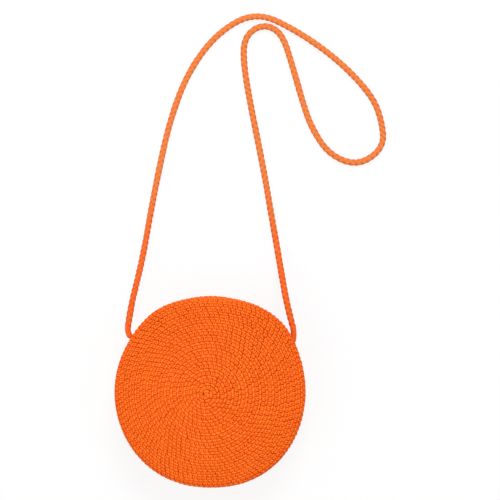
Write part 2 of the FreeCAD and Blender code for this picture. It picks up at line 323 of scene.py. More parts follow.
def make_yarn_group():
    """Plies: sin of (plies * around + twist * along); fibres: noise stretched along the strand."""
    tree, given, result, place, cloth_map = new_group(
        "plied_yarn", {"Light": WHITE, "Deep": GREY, "Plies": 3.0, "Twist": 160.0})
    around, along = cloth_map[0], cloth_map[1]
    turns = maths(tree, "ADD", maths(tree, "MULTIPLY", around, given["Plies"]),
                  maths(tree, "MULTIPLY", along, given["Twist"]))
    wave = maths(tree, "SINE", maths(tree, "MULTIPLY", turns, TURN))
    ply = maths(tree, "MULTIPLY_ADD", wave, 0.5, 0.5)
    stretched = node(tree, "ShaderNodeCombineXYZ")
    feed(tree, stretched.inputs, {"X": maths(tree, "MULTIPLY", turns, FIBRES_AROUND),
                                  "Y": maths(tree, "MULTIPLY", along, FIBRES_ALONG)})
    fibre = noise(tree, stretched.outputs[0], 1.0, 3.0)
    dye = noise(tree, place, DYE_SCALE, 2.0)
    # Painted shade of each point, set when its yarn is built.
    depth = node(tree, "ShaderNodeAttribute", attribute_name="depth").outputs["Fac"]
    tone = node(tree, "ShaderNodeAttribute", attribute_name="tone").outputs["Fac"]
    # Painted shade: the grooves between the plies are painted darker.
    groove = maths(tree, "SUBTRACT", 1.0, ply)
    shade = maths(tree, "MULTIPLY_ADD", groove, PLY_PAINTED_SHADE, SHADE_START)
    causes = ((depth, PAINTED_SHADE_WEIGHT), (dye, DYE_SHADE), (fibre, FIBRE_SHADE), (tone, TONE_SHADE))
    for cause, weight in causes:
        shade = maths(tree, "MULTIPLY_ADD", cause, weight, shade)
    shade = maths(tree, "MINIMUM", maths(tree, "MAXIMUM", shade, 0.0), 1.0)
    feed(tree, result, {
        "Color": mix_colour(tree, shade, given["Light"], given["Deep"]),
        "Roughness": maths(tree, "MULTIPLY_ADD", fibre, *YARN_ROUGHNESS),
        "Height": maths(tree, "MULTIPLY_ADD", fibre, FIBRE_HEIGHT,
                        maths(tree, "MULTIPLY", ply, PLY_HEIGHT))})
    return tree


yarn_group = make_yarn_group()

# %% The effect of woven cloth
WEAVE_PAINTED_SHADE = 0.45
SLUB_SHADE = 0.5
SLUB_SCALE = 90.0
CLOTH_ROUGHNESS = (0.2, 0.65)


def make_weave_group():
    """Weave: product of two crossed sine waves, one per set of threads, over the cloth's own map."""
    tree, given, result, place, cloth_map = new_group(
        "woven_cloth", {"Light": WHITE, "Deep": GREY, "Threads": 1400.0, "Slant": 0.0})
    warp, weft = cloth_map[0], cloth_map[1]
    leaning = maths(tree, "MULTIPLY_ADD", warp, given["Slant"], weft)
    turns = maths(tree, "MULTIPLY", given["Threads"], TURN)
    first = maths(tree, "SINE", maths(tree, "MULTIPLY", warp, turns))
    second = maths(tree, "SINE", maths(tree, "MULTIPLY", leaning, turns))
    thread = maths(tree, "MULTIPLY_ADD", maths(tree, "MULTIPLY", first, second), 0.5, 0.5)
    slub = noise(tree, place, SLUB_SCALE, 4.0)
    # Painted shade: between the threads the colour goes towards Deep. The slubs are the cloth's own tone.
    shade = maths(tree, "MULTIPLY_ADD", thread, WEAVE_PAINTED_SHADE, maths(tree, "MULTIPLY", slub, SLUB_SHADE))
    feed(tree, result, {
        "Color": mix_colour(tree, shade, given["Deep"], given["Light"]),
        "Roughness": maths(tree, "MULTIPLY_ADD", slub, *CLOTH_ROUGHNESS),
        "Height": thread})
    return tree


weave_group = make_weave_group()

# %% Cloth materials
CLOTH_BUMP = 0.7
SHEEN_ROUGHNESS = 0.5
SHEEN_TINT = linear(255, 130, 40)
CLOTH_SPECULAR = 0.12


def new_material(name):
    """Empty material with its node tree and its Principled shader."""
    material = bpy.data.materials.new(name)
    material.use_nodes = True
    print("material:", name)
    return material, material.node_tree, material.node_tree.nodes["Principled BSDF"]


def add_bump(tree, shader, height, strength, metres):
    """Bump of a height socket on the shader's normal."""
    bump = node(tree, "ShaderNodeBump")
    feed(tree, bump.inputs, {"Strength": strength, "Distance": metres, "Height": height})
    tree.links.new(bump.outputs["Normal"], shader.inputs["Normal"])


def cloth_material(name, group, bump_metres, sheen, **values):
    """Principled cloth whose colour, roughness and bump come from an effect group."""
    material, tree, shader = new_material(name)
    effect = node(tree, "ShaderNodeGroup", node_tree=group)
    feed(tree, effect.inputs, values)
    feed(tree, shader.inputs, {
        "Base Color": effect.outputs["Color"], "Roughness": effect.outputs["Roughness"],
        "Sheen Weight": sheen, "Sheen Roughness": SHEEN_ROUGHNESS, "Sheen Tint": SHEEN_TINT,
        "Specular IOR Level": CLOTH_SPECULAR})
    add_bump(tree, shader, effect.outputs["Height"], CLOTH_BUMP, bump_metres)
    return material


bag_yarn = cloth_material("bag_yarn", yarn_group, bump_metres=0.0004, sheen=0.02,
                          Light=linear(255, 126, 34), Deep=linear(219, 43, 0), Plies=3.0, Twist=420.0)
strap_yarn = cloth_material("strap_yarn", yarn_group, bump_metres=0.0004, sheen=0.03,
                            Light=linear(226, 130, 67), Deep=linear(226, 82, 4), Plies=4.0, Twist=330.0)
binding_thread = cloth_material("binding_thread", yarn_group, bump_metres=0.00012, sheen=0.10,
                                Light=linear(248, 112, 38), Deep=linear(216, 76, 12),
                                Plies=2.0, Twist=900.0)
lining_cotton = cloth_material("lining_cotton", weave_group, bump_metres=0.00012, sheen=0.10,
                               Light=linear(232, 104, 36), Deep=linear(196, 68, 10), Threads=1100.0)
zip_weave = cloth_material("zip_weave", weave_group, bump_metres=0.0002, sheen=0.08,
                           Light=linear(232, 88, 24), Deep=linear(176, 50, 6),
                           Threads=1000.0, Slant=1.0)

# %% Plastic and metal of the zip
CLOUD_SCALE = 260.0
CLOUD_ROUGHNESS = (0.2, 0.28)
RUBBED_SCALE = (900.0, 900.0, 6000.0)
PATCH_SCALE = 240.0
RUBBED_ROUGHNESS = 0.16
PATCH_ROUGHNESS = (0.18, 0.12)


def moulded_material():
    """Moulded plastic of the teeth, slightly cloudy and softly glossy."""
    material, tree, shader = new_material("moulded_teeth")
    cloud = noise(tree, node(tree, "ShaderNodeTexCoord").outputs["Object"], CLOUD_SCALE, 3.0)
    feed(tree, shader.inputs, {
        "Base Color": mix_colour(tree, cloud, linear(206, 66, 8), linear(246, 104, 30)),
        "Roughness": maths(tree, "MULTIPLY_ADD", cloud, *CLOUD_ROUGHNESS)})
    add_bump(tree, shader, cloud, strength=0.15, metres=0.0001)
    return material


def brass_material():
    """Satin brass of the slider, tab and stops, with fine rubbed lines and duller patches."""
    material, tree, shader = new_material("satin_brass")
    place = node(tree, "ShaderNodeTexCoord").outputs["Object"]
    stretch = node(tree, "ShaderNodeMapping")
    feed(tree, stretch.inputs, {"Vector": place, "Scale": RUBBED_SCALE})
    rubbed = noise(tree, stretch.outputs[0], 1.0, 2.0)
    patch = noise(tree, place, PATCH_SCALE, 2.0)
    dull = maths(tree, "MULTIPLY_ADD", patch, *PATCH_ROUGHNESS)
    feed(tree, shader.inputs, {
        "Base Color": mix_colour(tree, patch, linear(196, 152, 84), linear(232, 196, 128)),
        "Roughness": maths(tree, "MULTIPLY_ADD", rubbed, RUBBED_ROUGHNESS, dull),
        "Metallic": 1.0})
    add_bump(tree, shader, rubbed, strength=0.25, metres=0.00005)
    return material


moulded_teeth = moulded_material()
satin_brass = brass_material()

# %% [markdown]
# ## The strap
#
# A plaited strap is limp: it drops from the side of the bag to the table and lies there in loose curves.
# The route is a list of points, and a NURBS spline among them is its smooth line. A tube with a plait
# drawn on it would be quicker, but its edge would be smooth, so three strands run along that line. In a
# plait of three, each strand swings from edge to edge and rises over one neighbour and dives under the
# other, twice for every swing: sideways a * sin(p), upwards b * sin(2 p), with the strands a third of a
# turn apart.

# %% Route of the strap
STRAP_ROUTE = [
    (-82, 63, 36), (-78.7, 86, 34.5), (-73, 111, 22), (-67.5, 140, 4), (-61, 178, 3), (-52.5, 222, 3),
    (-41, 273, 3), (-23, 321, 3), (7, 361, 3), (46, 382, 3), (88, 362, 3), (130, 332, 3),
    (162.5, 297.5, 3), (172.5, 273, 3), (175.5, 244.5, 3), (149, 225.5, 3), (119.5, 237, 3),
    (102, 264, 3), (93.5, 288, 3), (82.5, 327, 3), (72.7, 358, 3), (58.5, 368, 3), (43.5, 365, 3),
    (33, 352, 3), (33.5, 326, 3), (40, 288, 3), (54, 219, 3), (60.5, 180, 3), (67, 143, 4),
    (72.5, 109, 22), (76.5, 86, 34.5), (82.5, 63, 36),
]
STRAP_STEP = 1.0
SPLINE_STEPS = 24


def spline_points(route, step):
    """Points of the NURBS line of a route in millimetres, evenly spaced along it."""
    curve = bpy.data.curves.new("strap_line", "CURVE")
    curve.dimensions = "3D"
    curve.resolution_u = SPLINE_STEPS
    spline = curve.splines.new("NURBS")
    spline.points.add(len(route) - 1)
    homogeneous = np.c_[np.array(route) * MM, np.ones(len(route))]
    spline.points.foreach_set("co", homogeneous.ravel())
    spline.order_u = 3
    spline.use_endpoint_u = True
    carrier = bpy.data.objects.new("strap_line", curve)
    line_mesh = bpy.data.meshes.new_from_object(carrier)
    points = np.zeros(len(line_mesh.vertices) * 3)
    line_mesh.vertices.foreach_get("co", points)
    points = points.reshape(-1, 3) / MM
    bpy.data.objects.remove(carrier)
    bpy.data.curves.remove(curve)
    bpy.data.meshes.remove(line_mesh)
    places = np.r_[0, np.cumsum(np.linalg.norm(np.diff(points, axis=0), axis=1))]
    even = np.linspace(0, places[-1], int(places[-1] / step) + 1)
    line = np.stack([np.interp(even, places, points[:, axis]) for axis in range(3)], axis=1)
    return line, even


strap_line, strap_places = spline_points(STRAP_ROUTE, STRAP_STEP)
print(f"strap: {strap_places[-1]:.0f} mm along its line")

# %% Strands of the strap
STRANDS = 3
STRAND_SIDES = 10
STRAP_BUMP = 5.65
STRAP_HALF_WIDTH = 2.1
STRAP_HALF_THICK = 1.4
STRAP_SIDE_SWING = 1.2
STRAP_LIFT_SWING = 0.95
# Each drift: how much, over how long a stretch, and the seed of its draw.
ROLL_DRIFT = (0.6, 160.0, 3)
BEAT_DRIFT = (0.5, 60.0, 4)
PLUMP_DRIFT = (0.06, 25.0, 10)
# The strap's colour is deeper near each end and pale along its middle.
DEEP_END_TO = 60.0
PALE_FROM = 170.0
STRAND_PAINTED_SHADE = 0.38
STRAND_SHADE_SWING = 0.42
END_DEEPENING = 0.6
STRAND_TONES = np.array([-0.5, 0.0, 0.5])


def drift(amount, reach, seed):
    """A wobble along the strap, times an amount."""
    return amount * wander(strap_places, reach, seed)


def strap_strands():
    """Three strands about the strap's line, in a frame that rolls slowly from side to side.

    Their colour is deeper near the ends and paler along the middle, and a strand is painted darker
    where it dives under its neighbours: painted shade."""
    along = unit(np.gradient(strap_line, axis=0))
    across = unit(np.cross((0.0, 0.0, 1.0), along))
    upright = np.cross(along, across)
    roll = drift(*ROLL_DRIFT)[:, None]
    normal = upright * np.cos(roll) + across * np.sin(roll)
    beside = across * np.cos(roll) - upright * np.sin(roll)
    beat = TURN * strap_places / (STRANDS * STRAP_BUMP) + drift(*BEAT_DRIFT)
    phase = beat + (np.arange(STRANDS) * TURN / STRANDS)[:, None]
    sideways = STRAP_SIDE_SWING * np.sin(phase)
    upwards = STRAP_LIFT_SWING * np.sin(2 * phase)
    centre = strap_line + beside * sideways[..., None] + normal * upwards[..., None]
    plump = 1 + drift(*PLUMP_DRIFT)
    rings = tubes(centre, np.broadcast_to(normal, centre.shape), STRAP_HALF_WIDTH * plump,
                  STRAP_HALF_THICK * plump, STRAND_SIDES)
    # How near an end each place is, from 1 at the ends to 0 along the middle; it deepens the colour.
    from_end = np.minimum(strap_places, strap_places[-1] - strap_places)
    toward_end = np.clip((PALE_FROM - from_end) / (PALE_FROM - DEEP_END_TO), 0, 1)
    # Painted shade: a strand is painted darker where it dives under its neighbours.
    depth = STRAND_PAINTED_SHADE - STRAND_SHADE_SWING * np.sin(2 * phase) + END_DEEPENING * toward_end
    return {"rings": rings, "centre": centre, "start": np.arange(float(STRANDS)),
            "depth": depth[..., None], "tone": STRAND_TONES}


strap = yarn_piece("strap_plait", [strap_strands()], strap_yarn)

# %% [markdown]
# ## The bound ends of the strap
#
# Each end of the strap is wound with thread, bends in to the side and is sewn flat against it. Separate
# turns of thread would need many more faces for the same look, so the winding is one tube whose radius
# rises and falls along a fine screw line. Where the tube would sink into the wall its points are pushed
# out to the wall's face, as a sewn end is pressed flat.

# %% Bindings
BINDING_RADIUS = 2.9
BINDING_OVERLAP = 2.0
BINDING_SIDES = 28
THREAD_PITCH = 0.8
THREAD_RIDGE = 0.16
RINGS_PER_TURN = 6
# Each end is rounded off over a length, down to a share of the radius.
MOUTH_ROUND, MOUTH_SHARE = 1.2, 0.86
SEWN_ROUND, SEWN_SHARE = 2.5, 0.3
PRESSED_IN = 0.5
WINDING_PAINTED_SHADE = 0.3
WINDING_SHADE_SWING = 0.26
SEWN_LEFT = (-78.6, 53.0, 36.0)
SEWN_RIGHT = (81.8, 48.0, 36.0)


def binding(name, mouth, before, anchor):
    """Wound tube on a line that bends from the strap's end to a point of the wall's face.

    Its radius is BINDING_RADIUS + THREAD_RIDGE * cos(turns along the line - angle round it)."""
    mouth, before, anchor = (np.array(point, float) for point in (mouth, before, anchor))
    onward = unit(mouth - before)
    start = mouth - onward * BINDING_OVERLAP
    reach = np.linalg.norm(anchor - start)
    share = np.linspace(0, 1, int(reach / THREAD_PITCH * RINGS_PER_TURN))[:, None]
    bend = start + onward * reach / 2
    centre = start * (1 - share) ** 2 + bend * 2 * share * (1 - share) + anchor * share ** 2
    places = np.r_[0, np.cumsum(np.linalg.norm(np.diff(centre, axis=0), axis=1))]
    back = unit(np.gradient(centre, axis=0))
    across = unit(np.cross((0.0, 0.0, 1.0), back))
    above = np.cross(back, across)
    angle = np.linspace(0, TURN, BINDING_SIDES, endpoint=False)
    screw = TURN * places[:, None] / THREAD_PITCH - angle
    at_mouth = np.clip(places / MOUTH_ROUND, MOUTH_SHARE, 1.0)
    at_wall = np.clip((places[-1] - places) / SEWN_ROUND, SEWN_SHARE, 1.0) ** 0.5
    radius = (BINDING_RADIUS + THREAD_RIDGE * np.cos(screw)) * (at_mouth * at_wall)[:, None]
    ring = across[:, None] * np.cos(angle)[:, None] + above[:, None] * np.sin(angle)[:, None]
    points = centre[:, None] + ring * radius[..., None]
    from_axis = np.linalg.norm(points[..., :2], axis=-1, keepdims=True)
    points[..., :2] *= np.maximum((OUTER_RADIUS - PRESSED_IN) / from_axis, 1.0)
    # Painted shade: the colour is darker in the grooves between turns of thread.
    painted_groove_shade = WINDING_PAINTED_SHADE - WINDING_SHADE_SWING * np.cos(screw)
    batch = {"rings": points[None], "centre": centre[None], "start": np.zeros(1),
             "depth": painted_groove_shade[None], "tone": np.zeros(1)}
    return yarn_piece(name, [batch], binding_thread)


binding_left = binding("strap_binding_left", STRAP_ROUTE[0], STRAP_ROUTE[1], SEWN_LEFT)
binding_right = binding("strap_binding_right", STRAP_ROUTE[-1], STRAP_ROUTE[-2], SEWN_RIGHT)

for piece, sleeve in ((binding_left, "strap_sleeve_left"), (binding_right, "strap_sleeve_right")):
    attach(piece, "bag")
    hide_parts(sleeve)

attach(strap, "bag")
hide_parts("strap_cord")

# %% [markdown]
# ## One surface for the whole bag
#
# Seen in section the wall is a line: out along the back, round a corner, up the side, round the next
# corner and in along the domed front. A point of the wall is then given by how far it lies along that
# line, and by its angle round the bag. Each piece could have a surface of its own, but the stitches and
# the lining all use this one, each at its own depth, so they can never cut through each other. The limp
# front swells a little, and its rim stands proud in places, as the photograph shows.

# %% The wall as a surface
MIDDLE = WALL / 2
BEND = CORNER - MIDDLE
FLAT = OUTER_RADIUS - CORNER
BACK_END = FLAT + BEND * np.pi / 2
FRONT_START = BACK_END + SIDE_HEIGHT
LINE_END = FRONT_START + BACK_END
print(f"section line: {LINE_END:.1f} mm from back to front")

SPIRAL_CENTRE = (-4.0, -2.0)
# Each shoulder: angle and width in degrees, and height in millimetres.
SHOULDERS = ((44.0, 22.0, 4.4), (126.0, 16.0, 2.6), (88.0, 14.0, -1.6), (232.0, 30.0, 1.4),
             (270.0, 12.0, -0.6), (308.0, 28.0, 2.6))
QUIET_ZIP = 5.0
CALM_RIM = 20.0
SWELL_HEIGHT = 0.45
SLANT_HEIGHT = 0.3


def shoulder(theta):
    """How far the soft outline stands proud at an angle: a sum of bell curves round the rim."""
    out = np.zeros_like(theta)
    for centre, width, height in SHOULDERS:
        away = (np.degrees(theta) - centre + 180) % 360 - 180
        out = out + height * np.exp(-(away / width) ** 2)
    return out


def soft_waves(x, y):
    """Slow swells of a limp panel: a wave along x times one along y, and a wave across both."""
    crossed = np.sin(x / 19.0 + 0.8) * np.sin(y / 23.0 - 0.4)
    return SWELL_HEIGHT * crossed + SLANT_HEIGHT * np.sin((x + y) / 14.0)


def wall_point(line, theta, lift):
    """Point of the wall: section line and angle give the middle surface, and lift goes outwards."""
    front = line > (BACK_END + FRONT_START) / 2
    disc = np.where(front, LINE_END - line, line)
    bend_angle = np.clip((disc - FLAT) / BEND, 0, np.pi / 2)
    flat = np.minimum(disc, FLAT)
    radius = flat + (BEND + lift) * np.sin(bend_angle)
    drop = BEND * (1 - np.cos(bend_angle)) - lift * np.cos(bend_angle)
    drop = drop + np.clip(disc - BACK_END, 0, None)
    dome = CROWN * (1 - (flat / FLAT) ** 2)
    z = np.where(front, SIDE_TOP + CORNER - MIDDLE + dome - drop, MIDDLE + drop)
    slack = np.clip((np.abs(z - ZIP_Z) - QUIET_ZIP) / (SIDE_HEIGHT / 2 - QUIET_ZIP), 0, 1) ** 2
    share = np.clip(radius / OUTER_RADIUS, 0, 1)
    radius = radius + shoulder(theta) * slack * share ** 4
    shift = np.where(front, slack * (1 - share), 0)
    x = radius * np.cos(theta) + SPIRAL_CENTRE[0] * shift
    y = radius * np.sin(theta) + SPIRAL_CENTRE[1] * shift
    calm = np.where(front, slack * np.clip((FLAT - radius) / CALM_RIM, 0, 1), 0)
    return np.stack([x, y, z + soft_waves(x, y) * calm], axis=-1)


def wall_normal(line, theta):
    """Outward direction of the wall, from two lifts of the same point."""
    half = np.full_like(line, 0.5)
    return unit(wall_point(line, theta, half) - wall_point(line, theta, -half))


# %% [markdown]
# ## The crocheted wall
#
# The rounds follow one line that winds along the whole section, so they lie side by side at a steady
# distance. The photograph shows bumps 4.9 mm apart in rows about 3 mm apart, which fits single crochet
# in rounds 6 mm high: each stitch is a V whose two legs come up out of the round below, with a loop of
# yarn across its top. A bump pattern on a smooth wall would cost far less, but its edge and its grooves
# would be flat, so every stitch is made of short tubes whose ends dive out of sight. Straight floats of
# the same yarn close the grooves behind them. Outwards the stitches lean a little to one side, as they
# do when the work is never turned.

# %% Winding line of the rounds
ROWS_ON_SIDE = 6
ROWS_BESIDE_ZIP = 2
SIDE_ROW = SIDE_HEIGHT / ROWS_ON_SIDE
SIDE_LOW = BACK_END + ROWS_BESIDE_ZIP * SIDE_ROW
SIDE_HIGH = FRONT_START - ROWS_BESIDE_ZIP * SIDE_ROW
CENTRE_ROW = 6.9
EDGE_ROW = 4.7
START = 0.12 * CENTRE_ROW
BOTTOM = 0.75
LEVEL_ANGLE = SLOT_ANGLE + 0.08
LEVEL_FADE = 22.0
LINE_POINTS = 120000


def row_height(line):
    """Height of a round: less towards a panel's edge, and at the corner it grows to the side's."""
    disc = np.minimum(line, LINE_END - line)
    panel_row = CENTRE_ROW + (EDGE_ROW - CENTRE_ROW) * np.clip(disc / BACK_END, 0, 1) ** 2
    turned = np.clip((disc - FLAT) / (BACK_END + SIDE_ROW - FLAT), 0, 1)
    return panel_row + (SIDE_ROW - panel_row) * turned


def level_at_zip(theta):
    """Turns to add, so that the rounds run level along the zip and climb on the rest of the side.

    They fall in step with the angle from the top as far as LEVEL_ANGLE, and then return to nothing."""
    away = (theta + np.pi / 2) % TURN - np.pi
    back = LEVEL_ANGLE * (np.pi - np.abs(away)) / (np.pi - LEVEL_ANGLE)
    return -np.sign(away) * np.minimum(np.abs(away), back) / TURN


even_line = np.linspace(START, LINE_END - START, LINE_POINTS)
turns = np.cumsum((even_line[1] - even_line[0]) / row_height(even_line))
turns -= np.interp(SIDE_LOW, even_line, turns)
wound_theta = TURN * (turns + BOTTOM)
from_corner = np.minimum(even_line, LINE_END - even_line) - BACK_END
near_side = np.clip(from_corner / LEVEL_FADE + 1, 0, 1)
wound_line = np.interp(turns + near_side * level_at_zip(wound_theta), turns, even_line)
wound_points = wall_point(wound_line, wound_theta, np.zeros_like(wound_line))
wound_places = np.r_[0, np.cumsum(np.linalg.norm(np.diff(wound_points, axis=0), axis=1))]
print(f"rounds: {turns[-1] - turns[0]:.1f}, {wound_places[-1] * MM:.1f} m of stitches")

# %% One stitch, repeated
STITCH = 4.8
LEAN = 0.27
YARN_SIDES = 6
YARN_THICK = 0.82
THICKEST = 1.0
LOOSE_UP = 0.05
LOOSE_ALONG = 0.14
LOOSE_LIFT = 0.05
LOOSE_PLUMP = 0.05
LOOSEST = 2
POLE_GAP = 0.6
# Yarn below this lift is buried, and wholly so at the second number further down.
BURIED_BELOW, BURIED_OVER = 0.25, 0.85
SIDE_PAINTED_SHADE = 0.75
TONE_SPREAD = 0.5
YARN_METRES = 9
# Each row: share of the stitch's width, share of the round's height, lift from the wall's middle in mm,
# and half the yarn's width, as a share of the stitch's width for legs and of the round's height for others.
LEGS = np.array([
    (0.20, 0.55, -0.50, 0.18), (0.25, 0.41, 0.28, 0.22), (0.33, 0.21, 0.46, 0.22),
    (0.50, 0.01, -0.40, 0.20),
    (0.67, 0.21, 0.46, 0.22), (0.75, 0.41, 0.28, 0.22), (0.80, 0.55, -0.50, 0.18)])
TOP_LOOP = np.array([
    (0.19, 0.69, -0.49, 0.14), (0.40, 0.72, 0.20, 0.20), (0.69, 0.755, 0.46, 0.225),
    (0.97, 0.79, 0.22, 0.20), (1.19, 0.83, -0.47, 0.14)])
UPPER_FLOAT = np.array([(-0.1, 0.52, -0.38, 0.18), (1.1, 0.52, -0.38, 0.18)])
LOWER_FLOAT = np.array([
    (-0.1, 0.10, -0.06, 0.20), (0.5, 0.10, -0.24, 0.20), (1.1, 0.10, -0.06, 0.20)])


def stitches(first_place, last_place, outward, seed):
    """Stitches between two places along the rounds: legs, top loops, and the floats behind the grooves.

    Outward is the side of the tops: 1 where the section line leads there, and -1 where it comes from
    there. Each point gets painted shade: darker the lower its yarn lies, and the further round
    the yarn it is from the top."""
    draw = np.random.default_rng(seed)
    count = int(round((last_place - first_place) / STITCH))
    width = (last_place - first_place) / count
    centre_place = first_place + (np.arange(count) + 0.5) * width
    height = row_height(np.interp(centre_place, wound_places, wound_line))[:, None]
    slip = draw.normal(0, 1, (2, count, 1))
    around = np.linspace(0, TURN, YARN_SIDES, endpoint=False)
    yarns = ((LEGS, width), (TOP_LOOP, height), (UPPER_FLOAT, height), (LOWER_FLOAT, height))
    batches = []
    for path, breadth in yarns:
        up = (path[:, 1] - 0.5) * height + LOOSE_UP * slip[0]
        aside = (path[:, 0] - 0.5) * width + LEAN * up + LOOSE_ALONG * slip[1]
        place = centre_place[:, None] + aside
        theta = np.interp(place, wound_places, wound_theta)
        line = np.interp(place, wound_places, wound_line) + outward * up
        line = np.clip(line, POLE_GAP, LINE_END - POLE_GAP)
        uneven = np.clip(draw.normal(0, 1, (2, count, 1)), -LOOSEST, LOOSEST)
        centre = wall_point(line, theta, path[:, 2] + LOOSE_LIFT * uneven[0])
        half_width = path[:, 3] * breadth * (1 + LOOSE_PLUMP * uneven[1])
        half_thick = np.minimum(YARN_THICK * half_width, THICKEST)
        rings = tubes(centre, wall_normal(line, theta), half_width, half_thick, YARN_SIDES)
        # Painted shade: buried yarn and the sides of each tube, away from its top, are painted darker.
        buried = np.clip((BURIED_BELOW - path[:, 2]) / BURIED_OVER, 0, 1)
        depth = np.clip(buried[:, None] + (SIDE_PAINTED_SHADE - np.sin(around)), 0, 1)
        batches.append({"rings": rings, "centre": centre, "start": draw.uniform(0, YARN_METRES, count),
                        "depth": depth, "tone": draw.normal(0, TONE_SPREAD, count)})
    return batches


# %% The ring that the first round is worked into
RING_RADIUS = 0.9
RING_YARN = 0.95
RING_LIFT = 0.25
# The ring's colour gets a steady painted shade.
RING_PAINTED_SHADE = 0.2
RING_POINTS = 17
RING_SIDES = 8


def centre_ring(line_start, seed):
    """A closed loop of yarn at a panel's centre: a small circle at a steady lift."""
    theta = np.linspace(0, TURN, RING_POINTS)[None]
    line = np.abs(line_start - RING_RADIUS) * np.ones_like(theta)
    centre = wall_point(line, theta, np.full_like(theta, RING_LIFT))
    rings = tubes(centre, wall_normal(line, theta), RING_YARN, RING_YARN, RING_SIDES)
    return {"rings": rings, "centre": centre, "start": np.array([float(seed)]),
            "depth": np.full((1, 1, 1), RING_PAINTED_SHADE), "tone": np.zeros(1)}


# %% [markdown]
# ### The seam between the two halves
#
# The back half goes on up the side, and the front half comes down to meet it, tops against tops. Between
# two rows of tops there is a groove, where a real bag is sewn or hooked together. A whole row of seam
# stitches would hardly show, so one more length of yarn lies there on each side of the zip.

# %% The seam between the two halves
SEAM_LIFT = -0.2
SEAM_YARN = (1.1, 0.8)
SEAM_OVERLAP = 0.04
# The seam yarn lies in the groove, and its colour is painted darker all along: painted shade.
SEAM_PAINTED_SHADE = 0.5
SEAM_POINTS = 120


def joining_seam(place):
    """Two lengths of yarn where the tops of two rounds meet, half a round below the first front round."""
    first = np.interp(place, wound_places, wound_theta)
    zip_middle = first + (np.pi / 2 - first) % TURN
    ends = [[first - SEAM_OVERLAP, zip_middle - SLOT_ANGLE],
            [zip_middle + SLOT_ANGLE, first + TURN + SEAM_OVERLAP]]
    theta = np.linspace(*np.transpose(ends), SEAM_POINTS, axis=1)
    line = np.interp(theta, wound_theta, wound_line) - SIDE_ROW / 2
    centre = wall_point(line, theta, np.full_like(theta, SEAM_LIFT))
    rings = tubes(centre, wall_normal(line, theta), *SEAM_YARN, YARN_SIDES)
    return {"rings": rings, "centre": centre, "start": np.zeros(2),
            "depth": np.full((1, 1, 1), SEAM_PAINTED_SHADE), "tone": np.zeros(2)}


# %% Panels and side rows
line_marks = [START, FLAT, SIDE_LOW, SIDE_HIGH, LINE_END - FLAT, LINE_END - START]
place_marks = np.interp(line_marks, wound_line, wound_places)
begin, corner_back, slot_low, slot_high, corner_front, end = place_marks

back_stitches = stitches(begin, corner_back, outward=1, seed=1) + [centre_ring(0.0, seed=5)]
back_panel = yarn_piece("back_panel_rounds", back_stitches, bag_yarn)
low_stitches = stitches(corner_back, slot_low, outward=1, seed=2)
back_rows = yarn_piece("back_side_rounds", low_stitches, bag_yarn)
high_stitches = stitches(slot_high, corner_front, outward=-1, seed=3) + [joining_seam(slot_high)]
front_rows = yarn_piece("front_side_rounds", high_stitches, bag_yarn)
front_stitches = stitches(corner_front, end, outward=-1, seed=4) + [centre_ring(LINE_END, seed=6)]
front_panel = yarn_piece("front_panel_rounds", front_stitches, bag_yarn)

# %% Middle rows, which stop at the zip
MOST_RUNS = 4
MIDDLE_SEED = 10


def middle_rows():
    """Runs of the two middle rounds from one end of the zip round the bottom to the other."""
    first, last = np.interp([slot_low, slot_high], wound_places, wound_theta)
    turn_before = np.floor((first - np.pi / 2) / TURN)
    batches = []
    for turn in range(MOST_RUNS):
        run_start = np.pi / 2 + (turn_before + turn) * TURN + SLOT_ANGLE
        low = max(run_start, first)
        high = min(run_start + TURN - 2 * SLOT_ANGLE, last)
        if high > low:
            places = np.interp([low, high], wound_theta, wound_places)
            batches += stitches(*places, outward=1, seed=MIDDLE_SEED + turn)
    return batches


middle = yarn_piece("gusset_rounds", middle_rows(), bag_yarn)

# %% [markdown]
# ### The pieces that cross the fold
#
# When the bag is opened, the soft front folds back above a line across it, and a hinge would crease it
# like a lid. The pieces that cross that line are made at rest: their place is baked into their points,
# and they are not blended between bag and mouth.


def bends_at_mouth(piece):
    """Bakes a piece's place into its points; it is not blended from bag to flap across the fold."""
    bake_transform(piece)


for piece in (back_panel, back_rows, middle):
    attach(piece, "bag")
for piece in (front_panel, front_rows):
    bends_at_mouth(piece)
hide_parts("back_panel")
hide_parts("zip_strip_back")
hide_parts("gusset_band")
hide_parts("front_panel", "flap_panel")
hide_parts("zip_strip_front", "zip_strip_front_ends")

# %% [markdown]
# ## The lining
#
# Crochet has small gaps, and a bag for keys needs a smooth inside, so the wall is lined with cotton.
# Cloth could be draped by simulation, but this lining is sewn to the wall all over and follows it. It is
# three sheets on the same surface, a little further in: a dish for the back, a dish for the front, and a
# band between them that is open at the zip.

# %% Lining sheets
LINING_LIFT = -(MIDDLE + 0.5)
LINING_THICKNESS = 0.4
LINING_ROWS = 48
LINING_COLUMNS = 160
LINING_HOLE = 0.4


def grid_piece(name, points, maps, material, thickness):
    """Sheet from a grid of points, mapped in metres along and across the cloth, with a thickness."""
    index = np.arange(points[..., 0].size).reshape(points.shape[:2])
    quads = np.stack([index[:-1, :-1], index[:-1, 1:], index[1:, 1:], index[1:, :-1]], axis=-1)
    uv = np.stack([maps[:-1, :-1], maps[:-1, 1:], maps[1:, 1:], maps[1:, :-1]], axis=-2)
    piece = new_piece(name, points, quads.reshape(-1, 4).tolist(), material, uv.reshape(-1, 2))
    solid = piece.modifiers.new("thickness", "SOLIDIFY")
    solid.thickness = thickness * MM
    solid.offset = 0.0
    return piece


